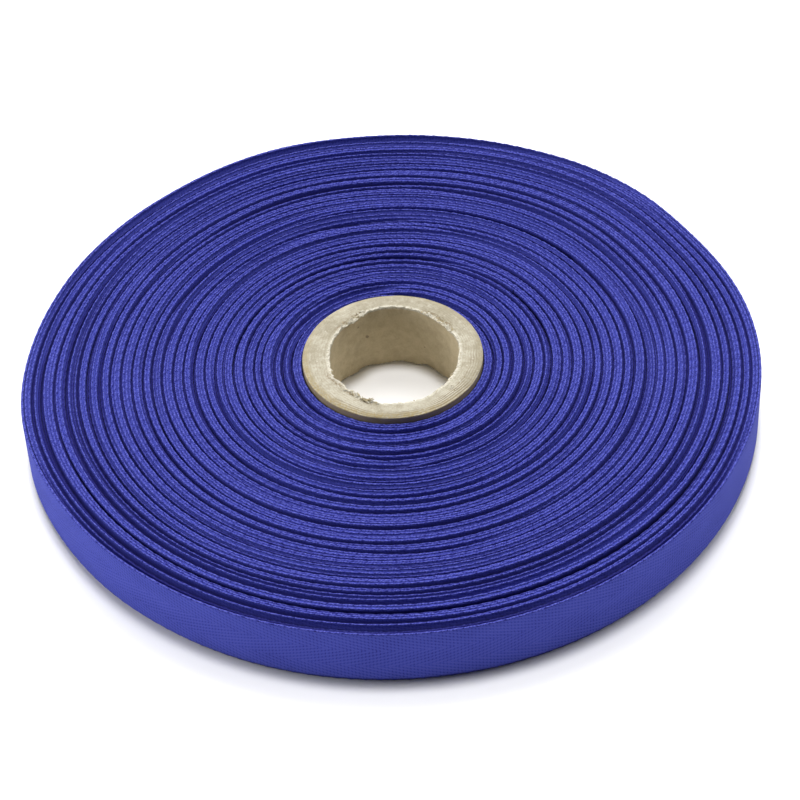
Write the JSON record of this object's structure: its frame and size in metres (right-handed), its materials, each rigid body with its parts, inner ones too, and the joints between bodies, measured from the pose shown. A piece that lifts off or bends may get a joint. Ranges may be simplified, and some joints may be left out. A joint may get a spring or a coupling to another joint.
{
  "type": "reel of twill tape",
  "caption": "Flat reel of narrow herringbone twill tape wound in even turns on a short cardboard core with an open bore, lying on its face.",
  "frame": {"origin": "on the core's axis, at the core's lower end, which the reel stands on", "axes": "+Z along the core's axis, upwards; the reel is round about it, so X and Y are free"},
  "size_m": [0.1452, 0.1442, 0.0147],
  "materials": {
    "core_board": "matte greyboard with paper plies on its cut faces",
    "tape_cloth": "matte royal blue cotton in a herringbone twill"
  },
  "bodies": {
    "root": {"core_tube": "core_board", "tape_roll": "tape_cloth"}
  },
  "joints": []
}
